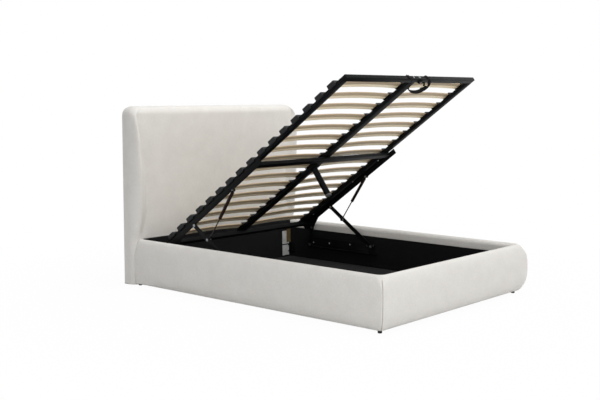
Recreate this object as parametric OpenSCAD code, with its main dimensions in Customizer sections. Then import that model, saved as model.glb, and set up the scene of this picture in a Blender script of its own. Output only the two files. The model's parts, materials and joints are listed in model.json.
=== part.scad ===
// Upholstered ottoman bed, lifting from the foot end, shown open.
// X is the width, +Y runs to the headboard, +Z is up, sizes in millimetres.

/* [Mattress] */
// Width of the mattress
mattress_w = 1500; // [1350:10:1800]
// Length of the mattress
mattress_l = 2000; // [1900:10:2100]
// Free width beside the mattress, both sides together
side_gap = 20; // [10:1:40]
// Free length past the mattress
end_gap = 25; // [10:1:40]

/* [Rails] */
// Thickness of an upholstered rail where it bulges most
rail_t = 70; // [64:1:90]
// Height of a rail
rail_h = 318; // [310:1:345]
// Height of the glides under the bed
glide_h = 20; // [12:1:30]
// Width of a glide
glide_d = 26; // [20:1:40]
// Radius of the lower part of the bulge
bulge_low_r = 258; // [240:2:320]
// Radius of the upper part of the bulge
bulge_high_r = 450; // [380:5:560]
// Height above the lower edge where a rail is fullest
bulge_h = 160; // [150:1:170]
// Radius of the padded top edge
top_edge_r = 40; // [25:1:45]
// Height over which the padded top edge rolls inwards
lip_roll = 28; // [15:1:35]
// Thickness of the timber boards inside the rails
board_t = 20; // [16:1:24]
// Height of a board's lower edge above the rail's lower edge
board_lift = 34; // [32:1:60]
// Padding over the top of a board
top_pad = 18; // [10:1:30]
// Thickness of the lining boards
lining_t = 3.5; // [2:0.5:5]
// Height of the fabric lip above the lining
lip_h = 66; // [40:1:90]

/* [Storage floor] */
// Thickness of the floor panels
floor_t = 5; // [3:0.5:8]
// Thickness of the battens under the floor
batten_t = 10; // [6:1:15]
// Width of a batten
batten_w = 60; // [40:1:90]
// Width of the ledges that the closed platform rests on
ledge_w = 82; // [70:1:100]
// Length of a ledge
ledge_l = 460; // [200:10:600]
// Height of a ledge
ledge_h = 28; // [20:1:40]

/* [Headboard] */
// Height of the top of the headboard
headboard_h = 1258; // [1000:1:1500]
// Depth of the headboard
headboard_t = 105; // [90:1:140]
// How far each side of the headboard stands past the rails
headboard_side = 15; // [5:1:40]
// Padding on the front of the headboard
front_pad = 45; // [30:1:60]
// Padding on the top and the sides of the headboard
edge_pad = 28; // [20:1:45]
// Radius of the top front edge
crest_r = 58; // [40:1:70]
// Radius of the upper corners, seen from the front
corner_r = 40; // [25:1:80]
// Thickness of the back panel
back_t = 3; // [2:0.5:6]
// Width of the timber posts
post_w = 70; // [50:1:90]
// How far a wing stands forward where it is fullest
wing_reach = 76; // [40:1:80]
// Width of a wing at its foot
wing_foot_w = 92; // [70:1:110]
// Width of a wing at its top
wing_top_w = 30; // [20:1:60]

/* [Platform] */
// Length of the slatted platform
platform_l = 1950; // [1900:10:1980]
// Gap between the platform's side tubes and the side linings
platform_gap = 54; // [48:1:70]
// Gap between the closed platform and the head end
head_gap = 23; // [15:1:40]
// Height of the underside of the closed platform
closed_z = 260; // [252:1:268]
// Width of the steel tubes
tube_w = 40; // [30:1:45]
// Depth of the steel tubes
tube_h = 25; // [20:1:30]
// Wall of the steel tubes
tube_wall = 1.5; // [1.2:0.1:2.5]
// Width of the centre beam
beam_w = 60; // [40:1:70]
// Width of the middle crossbar
crossbar_w = 40; // [30:1:60]
// Distance of the middle crossbar from the platform's head end
crossbar_back = 1065; // [1050:1:1090]
// Number of rows of slats
slat_rows = 16; // [10:1:17]
// Width of a slat
slat_w = 54; // [44:1:62]
// Thickness of a slat
slat_t = 8; // [6:0.5:10]
// Rise of a slat over its ends
slat_crown = 12; // [6:1:20]
// Distance of the first slat from the foot end
slat_margin = 115; // [100:1:130]
// Distance of the last slat from the head end
slat_tail = 95; // [85:1:130]
// Height of a slat holder
holder_h = 18; // [16:1:24]
// How far an outer holder stands past the side tube
holder_proud = 12; // [6:1:18]
// How far a slat reaches into its holder
slat_grip = 22; // [15:1:28]
// Diameter of the support leg
leg_d = 42; // [30:1:50]
// Distance of the support leg from the platform's head end
leg_back = 916; // [870:1:960]
// Width of the webbing of the pull strap
strap_w = 25; // [20:1:40]
// Thickness of the webbing
strap_t = 2.4; // [1.5:0.1:4]
// Distance between the ends of the pull strap
strap_span = 205; // [150:5:240]
// How far the pull strap hangs below the foot bar
strap_drop = 84; // [60:1:110]
// Distance of the pull strap's middle from the middle of the bed
strap_x = 30; // [0:1:40]

/* [Lift mechanism] */
// Angle of the open platform
open_angle = 36; // [30:0.5:38]
// Distance of the lift arm's base pivot from the head end
arm_base_y = 845; // [820:1:860]
// Height of the lift arm's base pivot
arm_base_z = 200; // [195:1:205]
// Distance of the rear link's base pivot from the head end
link_base_y = 245; // [235:1:255]
// Height of the rear link's base pivot
link_base_z = 157; // [152:1:162]
// Distance of the arm's upper pivot from the platform's head end
arm_top_s = 350; // [340:1:360]
// Drop of the arm's upper pivot below the platform
arm_top_drop = 39; // [36:1:42]
// Distance of the link's upper pivot from the platform's head end
link_top_s = 90; // [85:1:100]
// Drop of the link's upper pivot below the platform
link_top_drop = 71; // [66:1:74]
// Distance along the arm to the lower end of the gas strut
strut_on_arm = 323; // [310:1:335]
// Distance of the strut's upper pivot from the platform's head end
strut_top_s = 786; // [776:1:796]
// Drop of the strut's upper pivot below the platform
strut_top_drop = 34; // [30:1:36]
// Width of the lift arms and rear links
arm_w = 30; // [26:1:34]
// Thickness of the lift arms and rear links
arm_t = 6; // [4:0.5:7]
// Diameter of the pivot pins
pin_d = 12; // [8:1:14]
// Radial clearance of a pin in a turning piece
pin_gap = 0.1; // [0.05:0.01:0.1]
// Gap between pieces that move past each other
run_gap = 0.3; // [0.3:0.05:0.6]
// Thickness of the pressed steel plates
plate_t = 3; // [2:0.5:3.5]
// Distance of the hinge bar's outer face from the side lining
hinge_inset = 42; // [40:1:48]
// Depth of the upright part of the hinge bar
hinge_bar_h = 38; // [34:1:38]
// Outer diameter of the gas strut
strut_d = 22; // [16:1:22]
// Diameter of the strut's rod
rod_d = 8; // [6:1:10]
// Length of the strut's cylinder from its pivot
cylinder_l = 236; // [225:1:242]

/* [Hidden] */
$fn = 96;
eps = 0.01;
floor_top = glide_h + batten_t + floor_t;
rail_top = glide_h + rail_h;
inner_w = mattress_w + side_gap;
inner_l = mattress_l + end_gap;
side_x = inner_w / 2;
head_board_t = board_t + lining_t;
head_slack = 1.5;
overall_l = rail_t + inner_l + head_board_t + head_slack + headboard_t;
foot_y = -overall_l / 2;
foot_face = foot_y + rail_t;
head_face = foot_face + inner_l;
headboard_y = head_face + head_board_t + head_slack;
headboard_x = side_x + rail_t + headboard_side;
back_y = headboard_y + headboard_t;
lining_top = rail_top - lip_h;
board_z = glide_h + board_lift;
board_top = rail_top - top_pad;
wall = plate_t;

// Linkage, in the plane of the side: [distance along Y, height]
arm_base = [head_face - arm_base_y, arm_base_z];
link_base = [head_face - link_base_y, link_base_z];
closed_foot = [head_face - head_gap - platform_l, closed_z];
arm_top = [platform_l - arm_top_s, -arm_top_drop];
link_top = [platform_l - link_top_s, -link_top_drop];
strut_top = [platform_l - strut_top_s, -strut_top_drop];
arm_l = norm(closed_foot + arm_top - arm_base);
link_l = norm(closed_foot + link_top - link_base);

function turned(p, a) = [p[0] * cos(a) - p[1] * sin(a), p[0] * sin(a) + p[1] * cos(a)];
function heading(p) = atan2(p[1], p[0]);

// Where the open arm and link meet the platform: two circles crossing
coupler = turned(link_top - arm_top, -open_angle);
circle_b = link_base - coupler;
centres = norm(circle_b - arm_base);
along = (arm_l * arm_l - link_l * link_l + centres * centres) / (2 * centres);
across = sqrt(arm_l * arm_l - along * along);
towards = (circle_b - arm_base) / centres;
arm_end = arm_base + along * towards + across * [-towards[1], towards[0]];
link_end = arm_end + coupler;
open_foot = arm_end - turned(arm_top, -open_angle);
arm_angle = heading(arm_end - arm_base);
link_angle = heading(link_end - link_base);
strut_low = arm_base + strut_on_arm * [cos(arm_angle), sin(arm_angle)];
strut_high = open_foot + turned(strut_top, -open_angle);
strut_l = norm(strut_high - strut_low);
strut_angle = heading(strut_high - strut_low);

// The same pieces with the platform shut
arm_shut = heading(closed_foot + arm_top - arm_base);
link_shut = heading(closed_foot + link_top - link_base);
low_shut = arm_base + strut_on_arm * [cos(arm_shut), sin(arm_shut)];
high_shut = closed_foot + strut_top;
strut_shut_l = norm(high_shut - low_shut);
strut_stroke = strut_l - strut_shut_l;

// Layers of the mechanism, distances from the middle of the bed
flange_x = side_x - hinge_inset;
arm_x = flange_x + run_gap;
ear_x = arm_x + arm_t + run_gap;
strut_x = flange_x - wall - run_gap - 2 - strut_d / 2;
eye_t = strut_d / 2;
eye_d = strut_d;
pin_head_d = pin_d + 8;
pin_head_t = 3;
flange_lift = 72;
base_rail_z = link_base_z - 17;
tube_x = side_x - platform_gap;
crossbar_s = platform_l - crossbar_back;
leg_s = platform_l - leg_back;
slat_pitch = (platform_l - slat_margin - slat_tail) / (slat_rows - 1);
holder_in = tube_w;
centre_holder_w = beam_w + 20;
slat_outer = tube_x - holder_in + slat_grip;
slat_inner = centre_holder_w / 2 - slat_grip;
slat_chord = slat_outer - slat_inner;
slat_r = (slat_chord * slat_chord / 4 + slat_crown * slat_crown) / (2 * slat_crown);
leg_l = closed_z - floor_top - 0.5;
leg_foot_h = 14;
bolt_d = 8;
bolt_head_d = 14;
bolt_head_h = 5;

fabric = "#e6e1d8";
black_felt = "#26262a";
steel_black = "#2b2e33";
zinc = "#b9bcc0";
timber = "#c9a774";
birch = "#dcc9a6";
plastic_black = "#1c1d20";
plastic_grey = "#b4b5b6";

// Mirrors its children to the other side when side is -1
module on_side(side) {
    mirror([side < 0 ? 1 : 0, 0, 0]) children();
}

// Places its children, drawn on the shut platform's own axes, at the open angle
module on_platform() {
    translate([0, open_foot[0], open_foot[1]])
        rotate([-open_angle, 0, 0])
            children();
}

// Extrudes an outline drawn in [Y, Z] along X, from x to x + t
module side_plate(x, t) {
    translate([x, 0, 0])
        rotate([90, 0, 90])
            linear_extrude(t)
                children();
}

// Points of an arc in n steps, from angle a to angle b
function arc(centre, r, a, b, n) =
    [for (i = [0 : n]) centre + r * [cos(a + (b - a) * i / n), sin(a + (b - a) * i / n)]];

// Outline of a padded rail: two arcs that meet where it is fullest, and a rounded crest
crest_a = asin((rail_h - bulge_h - top_edge_r) / (bulge_high_r - top_edge_r));
crest_x = rail_t - bulge_high_r + (bulge_high_r - top_edge_r) * cos(crest_a);
padded_outline = concat(
    [[0, 0]],
    arc([rail_t - bulge_low_r, bulge_h], bulge_low_r, -asin(bulge_h / bulge_low_r), 0, 14),
    arc([rail_t - bulge_high_r, bulge_h], bulge_high_r, crest_a / 8, crest_a, 7),
    arc([crest_x, rail_h - top_edge_r], top_edge_r, crest_a + 8, 90, 10),
    [for (i = [1 : 9]) [crest_x * (1 - sin(10 * i)), rail_h - lip_roll * (1 - cos(10 * i))]]);

// The section less the room for its board and lining
module rail_section() {
    difference() {
        translate([0, glide_h]) polygon(padded_outline);
        translate([lining_t, board_z]) square([board_t, board_top - board_z]);
        translate([-1, floor_top]) square([lining_t + 1, lining_top - floor_top]);
    }
}

// Plan of the foot rail, between the two mitres
module foot_plan() {
    out = rail_t + 10;
    translate([0, 0, -1])
        linear_extrude(rail_top + 2)
            polygon([[-side_x - out, foot_face - out], [side_x + out, foot_face - out],
                [side_x - 10, foot_face + 10], [-side_x + 10, foot_face + 10]]);
}

module rail_cover(side) {
    color(fabric)
        on_side(side)
            difference() {
                translate([side_x, headboard_y, 0])
                    rotate([90, 0, 0])
                        linear_extrude(headboard_y - foot_y)
                            rail_section();
                foot_plan();
            }
}

module foot_cover() {
    half = side_x + rail_t;
    color(fabric)
        intersection() {
            translate([-half, foot_face, 0])
                rotate([90, 0, 90])
                    linear_extrude(2 * half)
                        mirror([1, 0]) rail_section();
            foot_plan();
        }
}

module rail_board(side) {
    color(timber)
        on_side(side)
            translate([side_x + lining_t, foot_face - lining_t - board_t, board_z])
                cube([board_t, headboard_y - foot_face + lining_t + board_t, board_top - board_z]);
}

module foot_board() {
    half = side_x + lining_t;
    color(timber)
        translate([-half, foot_face - lining_t - board_t, board_z])
            cube([2 * half, board_t, board_top - board_z]);
}

module side_lining(side) {
    color(black_felt)
        on_side(side)
            translate([side_x, foot_face, floor_top])
                cube([lining_t, head_face - foot_face, lining_top - floor_top]);
}

module foot_lining() {
    color(black_felt)
        translate([-side_x, foot_face - lining_t, floor_top])
            cube([2 * side_x, lining_t, lining_top - floor_top]);
}

module head_lining() {
    color(black_felt)
        translate([-side_x, head_face, floor_top])
            cube([2 * side_x, lining_t, rail_top - floor_top]);
}

module head_crossboard() {
    color(timber)
        translate([-side_x, head_face + lining_t, floor_top])
            cube([2 * side_x, board_t + head_slack, rail_top - floor_top]);
}

// The floor is two panels that meet over the middle batten
module floor_panel(head) {
    middle = (foot_face + head_face) / 2;
    y0 = head ? middle + 0.5 : foot_face;
    y1 = head ? head_face : middle - 0.5;
    color(black_felt)
        translate([-side_x, y0, floor_top - floor_t])
            cube([2 * side_x, y1 - y0, floor_t]);
}

batten_ys = [foot_face + 30, (foot_face + head_face - batten_w) / 2, head_face - 30 - batten_w];

module floor_battens() {
    color(timber)
        for (y = batten_ys)
            translate([-side_x, y, glide_h])
                cube([2 * side_x, batten_w, batten_t]);
}

// A turned glide with a softened lower edge
module glide(h) {
    edge = 2;
    rotate_extrude()
        polygon([[0, 0], [glide_d / 2 - edge, 0], [glide_d / 2, edge], [glide_d / 2, h], [0, h]]);
}

glide_in = 70;

module corner_glides() {
    lowest = rail_t - bulge_low_r + sqrt(bulge_low_r * bulge_low_r - bulge_h * bulge_h);
    color(plastic_black)
        for (side = [-1, 1])
            on_side(side) {
                translate([side_x + lowest - glide_d / 2, foot_face - lowest + glide_d / 2, 0])
                    glide(glide_h);
                translate([headboard_x - edge_pad - glide_in, back_y - headboard_t / 2, 0])
                    glide(glide_h);
            }
}

module floor_glides() {
    color(plastic_black)
        for (y = batten_ys)
            for (x = [-side_x / 2, 0, side_x / 2])
                translate([x, y + batten_w / 2, 0])
                    glide(glide_h);
}

bracket_leg = 50;
bracket_h = 85;
bracket_z = 60;

// An angle plate in the inner corner at [side_x, y], opening to -X and to +Y or -Y
module corner_plate(y, dir) {
    translate([side_x, y, bracket_z])
        mirror([0, dir < 0 ? 1 : 0, 0])
            difference() {
                translate([-bracket_leg, 0, 0]) cube([bracket_leg, bracket_leg, bracket_h]);
                translate([-bracket_leg - 1, wall, -1])
                    cube([bracket_leg + 1 - wall, bracket_leg, bracket_h + 2]);
            }
}

module foot_bracket(side) {
    color(steel_black) on_side(side) corner_plate(foot_face, 1);
}

module head_bracket(side) {
    color(steel_black) on_side(side) corner_plate(head_face, -1);
}

// A domed screw head that stands along +Z on the surface it clamps
module screw_head(d, h) {
    rotate_extrude()
        polygon([[0, 0], [d / 2, 0], [d / 2, h * 0.4], [d / 2 * 0.75, h * 0.85], [d / 4, h], [0, h]]);
}

module bracket_bolts() {
    reach = bracket_leg / 2 + wall;
    color(zinc)
        for (side = [-1, 1], z = [bracket_z + 0.2 * bracket_h, bracket_z + 0.8 * bracket_h])
            on_side(side)
                for (end = [[foot_face, 1], [head_face, -1]]) {
                    translate([side_x - wall, end[0] + end[1] * reach, z])
                        rotate([0, -90, 0])
                            screw_head(bolt_head_d, bolt_head_h);
                    translate([side_x - reach, end[0] + end[1] * wall, z])
                        rotate([-90 * end[1], 0, 0])
                            screw_head(bolt_head_d, bolt_head_h);
                }
}

// The two ledges leave the middle free for the pull strap
module ledge(side) {
    top = closed_z - 0.5;
    inner = side_x - ledge_l;
    color(timber)
        on_side(side)
            translate([inner, foot_face, top - ledge_h])
                cube([ledge_l, ledge_w, ledge_h]);
}

// Side outline of the headboard, [Y, Z], with its rounded crest
back_edge = 10;
headboard_profile = concat(
    [[headboard_y, glide_h], [back_y, glide_h]],
    arc([back_y - back_edge, headboard_h - back_edge], back_edge, 0, 90, 6),
    arc([headboard_y + crest_r, headboard_h - crest_r], crest_r, 90, 180, 16));

// Front outline of the headboard, [X, Z]
module headboard_front(inset, top) {
    r = max(corner_r - inset, 5);
    half = headboard_x - inset;
    translate([-half, glide_h - 1]) square([2 * half, top - inset - r - glide_h + 1]);
    translate([-half + r, top - inset - r]) square([2 * (half - r), r]);
    for (x = [-half + r, half - r])
        translate([x, top - inset - r]) circle(r);
}

module headboard_pad() {
    color(fabric)
        difference() {
            intersection() {
                side_plate(-headboard_x, 2 * headboard_x) polygon(headboard_profile);
                translate([0, back_y + 1, 0])
                    rotate([90, 0, 0])
                        linear_extrude(headboard_t + 2)
                            headboard_front(0, headboard_h);
            }
            translate([0, back_y + 1, 0])
                rotate([90, 0, 0])
                    linear_extrude(headboard_t - front_pad + 1)
                        headboard_front(edge_pad, headboard_h);
        }
}

frame_y = headboard_y + front_pad;
frame_d = headboard_t - front_pad - back_t;

module headboard_frame() {
    half = headboard_x - edge_pad;
    top = headboard_h - edge_pad;
    rail_zs = [top - 1.15 * post_w, glide_h + 0.45 * headboard_h, glide_h];
    color(timber)
        union() {
            for (side = [-1, 1])
                on_side(side)
                    translate([half - post_w, frame_y, glide_h])
                        cube([post_w, frame_d, top - glide_h - corner_r]);
            for (z = rail_zs)
                translate([-half + post_w - eps, frame_y, z])
                    cube([2 * (half - post_w) + 2 * eps, frame_d, post_w]);
        }
}

module headboard_back() {
    color(black_felt)
        translate([0, back_y, 0])
            rotate([90, 0, 0])
                linear_extrude(back_t)
                    intersection() {
                        headboard_front(edge_pad, headboard_h);
                        translate([-headboard_x, glide_h]) square([2 * headboard_x, headboard_h]);
                    }
}

// Ring of a wing at height share u, 0 at the rail and 1 at the top
wing_levels = 20;
wing_sides = 14;
wing_z0 = rail_top + 0.3;
wing_z1 = headboard_h - 1.15 * corner_r;
function wing_depth(u) = wing_reach * pow(max(1 - pow(abs(2 * u - 1), 2.4), 0.0004), 1 / 1.2);
function wing_width(u) = wing_foot_w - (wing_foot_w - wing_top_w) * pow(u, 1.2);
function wing_ring(u) = [for (i = [0 : wing_sides])
    let (a = 180 * i / wing_sides, w = wing_width(u), c = cos(a), s = pow(sin(a), 0.75))
    [headboard_x - w / 2 + w / 2 * c, headboard_y - wing_depth(u) * s, wing_z0 + (wing_z1 - wing_z0) * u]];

// A closed skin over rings of equal count, with flat ends
module skin(rings) {
    n = len(rings[0]);
    m = len(rings);
    points = [for (ring = rings) for (p = ring) p];
    sides = [for (j = [0 : m - 2]) for (i = [0 : n - 1])
        let (k = (i + 1) % n)
        each [[j * n + i, j * n + k, (j + 1) * n + k], [j * n + i, (j + 1) * n + k, (j + 1) * n + i]]];
    ends = [[for (i = [n - 1 : -1 : 0]) i], [for (i = [0 : n - 1]) (m - 1) * n + i]];
    polyhedron(points, concat(sides, ends));
}

module wing(side) {
    rings = [for (j = [0 : wing_levels])
        let (u = (1 - cos(180 * j / wing_levels)) / 2)
        [for (p = wing_ring(u)) [side * p[0], p[1], p[2]]]];
    color(fabric)
        skin(side > 0 ? [for (ring = rings) [for (i = [len(ring) - 1 : -1 : 0]) ring[i]]] : rings);
}

base_rail_y0 = arm_base[0] - 35;
base_rail_y1 = link_base[0] + 55;
ear_w = 40;

// Upright ear that carries a pivot, from the base rail's lower flange
module ear_outline(p) {
    translate([p[0] - ear_w / 2, base_rail_z]) square([ear_w, p[1] - base_rail_z]);
    translate(p) circle(ear_w / 2);
}

module base_rail(side) {
    color(steel_black)
        on_side(side)
            difference() {
                union() {
                    translate([side_x - wall, base_rail_y0, base_rail_z])
                        cube([wall, base_rail_y1 - base_rail_y0, flange_lift]);
                    translate([ear_x, base_rail_y0, base_rail_z])
                        cube([side_x - ear_x, base_rail_y1 - base_rail_y0, wall]);
                    side_plate(ear_x, wall) {
                        ear_outline(arm_base);
                        ear_outline(link_base);
                    }
                }
                for (p = [arm_base, link_base])
                    side_plate(ear_x - 1, wall + 2)
                        translate(p) circle(d = pin_d);
            }
}

// The bolts run from one pivot to just above the other
rail_bolts = [for (share = [0.012, 0.103, 0.377, 0.719, 0.99])
    arm_base + share * (link_base - arm_base + [0, 10])];

module base_rail_bolts() {
    color(zinc)
        for (side = [-1, 1], p = rail_bolts)
            on_side(side)
                translate([side_x - wall, p[0], p[1]])
                    rotate([0, -90, 0])
                        screw_head(bolt_head_d, bolt_head_h);
}

// A riveted pin along +X from x0 to x1, with a head outside each end
module rivet(p, x0, x1, d, head_d, head_t) {
    translate([x0 - head_t, p[0], p[1]])
        rotate([0, 90, 0]) {
            cylinder(d = head_d, h = head_t);
            cylinder(d = d, h = x1 - x0 + 2 * head_t);
            translate([0, 0, x1 - x0 + head_t]) cylinder(d = head_d, h = head_t);
        }
}

// The inner heads lie in the plane of the hinge bar's flange, below it when it is shut
module base_pivot_pins() {
    color(zinc)
        for (side = [-1, 1], p = [arm_base, link_base])
            on_side(side)
                rivet(p, arm_x - run_gap, ear_x + wall, pin_d, pin_head_d, pin_head_t);
}

// A flat bar with round ends and a bore at each end, from p to q
module flat_bar(p, q, bore_p, bore_q) {
    side_plate(arm_x, arm_t)
        difference() {
            translate(p)
                rotate(heading(q - p)) {
                    circle(d = arm_w);
                    translate([0, -arm_w / 2]) square([norm(q - p), arm_w]);
                    translate([norm(q - p), 0]) circle(d = arm_w);
                }
            translate(p) circle(d = bore_p);
            translate(q) circle(d = bore_q);
        }
}

module lift_arm(side) {
    bore = pin_d + 2 * pin_gap;
    color(steel_black)
        on_side(side)
            flat_bar(arm_base, arm_end, bore, bore);
}

// The rear link's upper pivot is the one that is left open: its rivet stops short of the hinge bar
module rear_link(side) {
    color(steel_black)
        on_side(side)
            union() {
                flat_bar(link_base, link_end, pin_d + 2 * pin_gap, pin_d);
                translate([arm_x, link_end[0], link_end[1]])
                    rotate([0, 90, 0]) {
                        cylinder(d = pin_d, h = arm_t + 1);
                        translate([0, 0, arm_t]) cylinder(d = pin_head_d, h = pin_head_t);
                    }
            }
}

// Rectangular tube along Y, outer size w by h, with its lower left corner at the origin
module tube_y(w, h, l) {
    difference() {
        cube([w, l, h]);
        translate([tube_wall, -1, tube_wall])
            cube([w - 2 * tube_wall, l + 2, h - 2 * tube_wall]);
    }
}

// Rectangular tube along X, centred on the bed, with closed ends
module tube_x_closed(half, w, h) {
    difference() {
        translate([-half, 0, 0]) cube([2 * half, w, h]);
        translate([-half + tube_wall, tube_wall, tube_wall])
            cube([2 * half - 2 * tube_wall, w - 2 * tube_wall, h - 2 * tube_wall]);
    }
}

module platform_tube(side) {
    color(steel_black)
        on_platform()
            on_side(side)
                translate([tube_x - tube_w, tube_w, 0])
                    tube_y(tube_w, tube_h, platform_l - 2 * tube_w);
}

module foot_bar() {
    color(steel_black) on_platform() tube_x_closed(tube_x, tube_w, tube_h);
}

module head_bar() {
    color(steel_black)
        on_platform()
            translate([0, platform_l - tube_w, 0])
                tube_x_closed(tube_x, tube_w, tube_h);
}

module centre_beam() {
    color(steel_black)
        on_platform()
            translate([-beam_w / 2, tube_w, 0])
                tube_y(beam_w, tube_h, platform_l - 2 * tube_w);
}

hinge_bar_s0 = crossbar_s + crossbar_w + 2;
hinge_bar_s1 = platform_l - 25;
flange_s0 = crossbar_s - 45;
crossbar_x = flange_x - wall;

module mid_crossbar() {
    color(steel_black)
        on_platform()
            translate([0, crossbar_s, -tube_h])
                tube_x_closed(crossbar_x, crossbar_w, tube_h);
}

tie_s = platform_l - tube_w - 8 - tube_w;

module rear_tie_bar() {
    color(steel_black)
        on_platform()
            translate([0, tie_s, -wall - tube_h])
                tube_x_closed(tube_x, tube_w, tube_h);
}

// Upright part of the hinge bar, [along the platform, down]
module hinge_outline() {
    ear = arm_w / 2 + 2;
    translate([flange_s0, -hinge_bar_h]) square([hinge_bar_s1 - flange_s0, hinge_bar_h]);
    translate(strut_top) circle(bolt_d / 2 + 7);
    translate(arm_top) circle(ear);
    translate([arm_top[0] - ear, arm_top[1]]) square([2 * ear, arm_top_drop]);
    polygon([[link_top[0] - 110, -hinge_bar_h], [link_top[0] - ear * 0.9, link_top[1] - ear * 0.45],
        [link_top[0] + ear * 0.9, link_top[1] - ear * 0.45], [hinge_bar_s1, -hinge_bar_h]]);
    translate(link_top) circle(ear);
}

module hinge_bar(side) {
    color(steel_black)
        on_platform()
            on_side(side)
                difference() {
                    union() {
                        side_plate(flange_x - wall, wall) hinge_outline();
                        translate([tube_x - tube_w + 4, hinge_bar_s0, -wall])
                            cube([flange_x - tube_x + tube_w - 4, hinge_bar_s1 - hinge_bar_s0, wall]);
                    }
                    side_plate(flange_x - wall - 1, wall + 2) {
                        translate(arm_top) circle(d = pin_d);
                        translate(link_top) circle(d = pin_d);
                        translate(strut_top) circle(d = bolt_d);
                    }
                }
}

// The arms' upper pins, and the stubs that fill the bores above the open pivots
module platform_pins() {
    color(zinc)
        on_platform()
            for (side = [-1, 1])
                on_side(side) {
                    rivet(arm_top, flange_x - wall, ear_x, pin_d, pin_head_d, pin_head_t);
                    translate([flange_x - wall - pin_head_t, link_top[0], link_top[1]])
                        rotate([0, 90, 0]) {
                            cylinder(d = pin_head_d, h = pin_head_t);
                            cylinder(d = pin_d, h = pin_head_t + wall);
                        }
                }
}

// The inner heads hold the strut's eye, the collars space it, and the shanks are fast in the hinge bars
module strut_studs() {
    head_t = 2.5;
    eye_in = strut_x - eye_t / 2 - run_gap;
    eye_out = strut_x + eye_t / 2 + run_gap;
    color(zinc)
        on_platform()
            for (side = [-1, 1])
                on_side(side)
                    translate([eye_in - head_t, strut_top[0], strut_top[1]])
                        rotate([0, 90, 0]) {
                            cylinder(d = bolt_d + 6, h = head_t);
                            cylinder(d = bolt_d, h = flange_x - eye_in + head_t);
                            translate([0, 0, eye_out - eye_in + head_t])
                                cylinder(d = bolt_d + 6, h = flange_x - wall - eye_out);
                        }
}

// One sprung slat, a bent strip whose ends lie in its holders
module slat() {
    half_a = asin(slat_chord / 2 / slat_r);
    lowest = tube_h + holder_floor + 0.2;
    translate([(slat_outer + slat_inner) / 2, slat_w / 2, lowest - slat_r * cos(half_a)])
        rotate([90, 0, 0])
            rotate([0, 0, 90 - half_a])
                rotate_extrude(angle = 2 * half_a, $fn = 360)
                    translate([slat_r, 0]) square([slat_t, slat_w]);
}

module slats(side) {
    color(birch)
        on_platform()
            for (row = [0 : slat_rows - 1])
                on_side(side)
                    translate([0, slat_margin + row * slat_pitch, 0])
                        slat();
}

// Outline of a holder seen from above, with rounded outer corners
module holder_outline(x0, x1, w) {
    r = holder_proud / 2;
    translate([x0, -w / 2]) square([x1 - x0 - r, w]);
    translate([x0, -w / 2 + r]) square([x1 - x0, w - 2 * r]);
    for (y = [-w / 2 + r, w / 2 - r])
        translate([x1 - r, y]) circle(r, $fn = 32);
}

holder_floor = 3;
pocket_h = holder_h - 2 * holder_floor;
pocket_l = slat_grip + 2.5;
holder_w = slat_w + 8;
holder_clip = 0.55 * tube_h;

// An outer holder, whose lip clips down over the side of the tube
module outer_holder() {
    x0 = tube_x - holder_in;
    difference() {
        union() {
            translate([0, 0, tube_h])
                linear_extrude(holder_h)
                    holder_outline(x0, tube_x + holder_proud, holder_w);
            translate([0, 0, tube_h - holder_clip])
                linear_extrude(holder_clip + 1)
                    holder_outline(tube_x, tube_x + holder_proud, holder_w);
        }
        translate([x0 - 1, -slat_w / 2 - 0.5, tube_h + holder_floor])
            cube([pocket_l + 1, slat_w + 1, pocket_h]);
    }
}

module centre_holder() {
    half = centre_holder_w / 2;
    difference() {
        translate([-half, -holder_w / 2, tube_h]) cube([2 * half, holder_w, holder_h]);
        for (side = [-1, 1])
            on_side(side)
                translate([half - pocket_l, -slat_w / 2 - 0.5, tube_h + holder_floor])
                    cube([pocket_l + 1, slat_w + 1, pocket_h]);
    }
}

module holders(side) {
    color(plastic_black)
        on_platform()
            for (row = [0 : slat_rows - 1])
                on_side(side)
                    translate([0, slat_margin + row * slat_pitch, 0])
                        outer_holder();
}

module holders_centre() {
    color(plastic_black)
        on_platform()
            for (row = [0 : slat_rows - 1])
                translate([0, slat_margin + row * slat_pitch, 0])
                    centre_holder();
}

module support_leg() {
    plate = leg_d + 30;
    color(steel_black)
        on_platform()
            translate([0, leg_s, 0])
                union() {
                    translate([-beam_w / 2, -plate / 2, -wall]) cube([beam_w, plate, wall]);
                    translate([0, 0, -leg_l + leg_foot_h])
                        difference() {
                            cylinder(d = leg_d, h = leg_l - leg_foot_h - wall + eps);
                            translate([0, 0, -1]) cylinder(d = leg_d - 4, h = leg_l - leg_foot_h - wall - 4);
                        }
                }
}

// The leg's plastic foot, with a plug that fits up the tube
module leg_foot() {
    color(plastic_grey)
        on_platform()
            translate([0, leg_s, -leg_l])
                rotate_extrude()
                    polygon([[0, 0], [leg_d / 2 - 1, 0], [leg_d / 2 + 1, 3], [leg_d / 2 + 1, leg_foot_h - 2],
                        [leg_d / 2, leg_foot_h], [leg_d / 2 - 2.1, leg_foot_h],
                        [leg_d / 2 - 2.1, leg_foot_h + 20], [0, leg_foot_h + 20]]);
}

// A webbing loop whose ends wrap the foot bar, and which hangs straight down in front of it
module pull_strap() {
    color(plastic_black)
        on_platform() {
            rotate([open_angle, 0, 0])
                translate([strap_x, -run_gap, 0])
                    rotate([90, 0, 0])
                        linear_extrude(strap_w)
                            strap_outline();
            for (x = [strap_x - strap_span / 2, strap_x + strap_span / 2]) {
                translate([x - strap_w / 2, -strap_t, -8]) cube([strap_w, strap_t, tube_h + strap_t + 8]);
                translate([x - strap_w / 2, -strap_t, tube_h]) cube([strap_w, strap_t + 14, strap_t]);
            }
        }
}

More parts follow.
